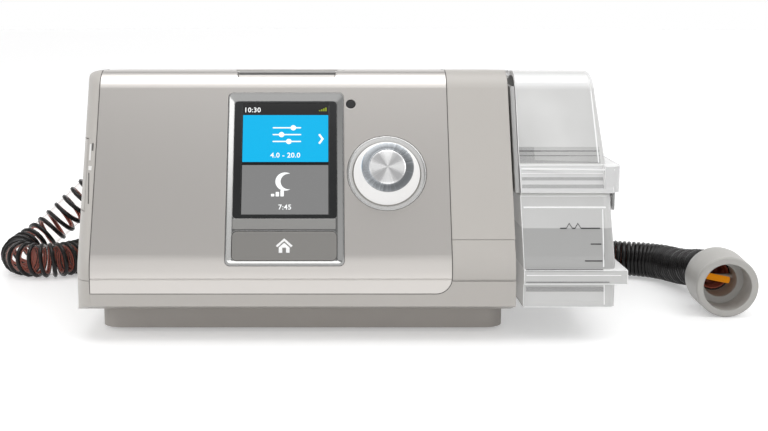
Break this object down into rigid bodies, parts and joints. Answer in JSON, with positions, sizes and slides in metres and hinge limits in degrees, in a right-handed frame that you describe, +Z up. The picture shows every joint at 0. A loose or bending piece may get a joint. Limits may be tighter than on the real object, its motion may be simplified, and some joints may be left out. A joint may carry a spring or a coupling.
{
  "type": "cpap machine",
  "caption": "bench-top breathing-air machine with a colour screen, push-and-turn dial, slide-out clear water tub and a heated air hose with an open end cuff",
  "frame": {"origin": "on the floor, at the centre of the machine's footprint without its hose", "axes": "X to the right seen from the front, Y to the back, Z up"},
  "size_m": [0.3838, 0.3995, 0.1159],
  "materials": {
    "casing_grey": "satin",
    "base_grey": "matte",
    "fascia_silver": "satin metallic",
    "surround_silver": "satin metallic",
    "dial_silver": "satin metallic",
    "spun_metal": "spun",
    "steel": "brushed",
    "black_plastic": "matte",
    "window_glass": "gloss",
    "clear_plastic": "clear",
    "lens": "gloss",
    "board": "satin",
    "duct_white": "matte",
    "seal_rubber": "matte",
    "foot_rubber": "matte",
    "foam": "fibrous",
    "hose_film": "ribbed",
    "cuff_grey": "satin",
    "sensor_orange": "gloss"
  },
  "bodies": {
    "machine": {"base_pan": "base_grey", "rubber_feet": "foot_rubber", "case_screws": "steel", "lower_case": "casing_grey", "upper_case": "casing_grey", "rear_panel": "casing_grey", "left_side_cover": "casing_grey", "fascia": "fascia_silver", "label_plate": "fascia_silver", "display_surround": "surround_silver", "display_frame": "surround_silver", "display_window": "window_glass", "lcd_module": "black_plastic", "home_switch": "black_plastic", "light_sensor": "lens", "power_switch": "black_plastic", "switch_board": "board", "dial_well": "surround_silver", "dial_encoder": "black_plastic", "control_board": "board", "side_board": "board", "sd_socket": "steel", "sd_card": "black_plastic", "blower_base": "black_plastic", "blower_cover": "black_plastic", "blower_motor": "steel", "blower_mounts": "seal_rubber", "inlet_duct": "duct_white", "outlet_duct": "duct_white", "bay_liner": "black_plastic", "bay_seals": "seal_rubber", "heater_plate": "steel", "air_outlet": "black_plastic", "power_inlet": "black_plastic", "filter_housing": "black_plastic", "air_filter": "foam", "hose_elbow": "cuff_grey", "hose_run_a": "hose_film", "hose_coil": "hose_film", "hose_run_b": "hose_film", "mask_cuff": "cuff_grey", "hose_sensor": "sensor_orange"},
    "home_key": {"home_button": "surround_silver"},
    "start_key": {"power_button": "fascia_silver"},
    "dial_core": {"dial_rotor": "black_plastic"},
    "dial": {"dial_skirt": "dial_silver", "dial_cap": "spun_metal", "dial_disc": "spun_metal", "dial_shaft": "steel"},
    "card_door": {"sd_card_cover": "casing_grey"},
    "filter_door": {"air_filter_cover": "casing_grey"},
    "fan": {"blower_impeller": "duct_white", "blower_shaft": "steel"},
    "tub": {"tub_base": "clear_plastic", "tub_steel_plate": "steel", "tub_seal": "seal_rubber", "tub_inner_cover": "clear_plastic", "lid_hinge_pin": "steel"},
    "lid": {"tub_lid": "clear_plastic", "lid_catch": "clear_plastic"}
  },
  "joints": [
    {"name": "home_press", "type": "slide", "parent": "machine", "child": "home_key", "axis": [0, 0.8829, -0.4695], "range_m": [0, 0.0008], "stiffness_N_per_m": 1200, "springref_m": -0.0005},
    {"name": "start_press", "type": "slide", "parent": "machine", "child": "start_key", "axis": [0, 0, -1], "range_m": [0, 0.0008], "stiffness_N_per_m": 1200, "springref_m": -0.0005},
    {"name": "dial_turn", "type": "hinge", "parent": "machine", "child": "dial_core", "pos_m": [0.0168, -0.05467, 0.07214], "axis": [0, -0.8829, 0.4695], "continuous": true},
    {"name": "dial_push", "type": "slide", "parent": "dial_core", "child": "dial", "axis": [0, 0.8829, -0.4695], "range_m": [0, 0.001], "stiffness_N_per_m": 1500, "springref_m": -0.0008},
    {"name": "card_door_swing", "type": "hinge", "parent": "machine", "child": "card_door", "pos_m": [-0.1196, -0.0116, 0.071], "axis": [0, 0, -1], "range_deg": [0, 90]},
    {"name": "filter_door_swing", "type": "hinge", "parent": "machine", "child": "filter_door", "pos_m": [-0.086, 0.05895, 0.0355], "axis": [-1, 0, 0], "range_deg": [0, 90]},
    {"name": "fan_spin", "type": "hinge", "parent": "machine", "child": "fan", "pos_m": [-0.084, 0.004, 0.04], "axis": [0, 0, 1], "continuous": true},
    {"name": "tub_slide", "type": "slide", "parent": "machine", "child": "tub", "axis": [1, 0, 0], "range_m": [0, 0.044]},
    {"name": "lid_open", "type": "hinge", "parent": "tub", "child": "lid", "pos_m": [0.0778, -0.004, 0.1118], "axis": [0, -1, 0], "range_deg": [0, 85]}
  ]
}
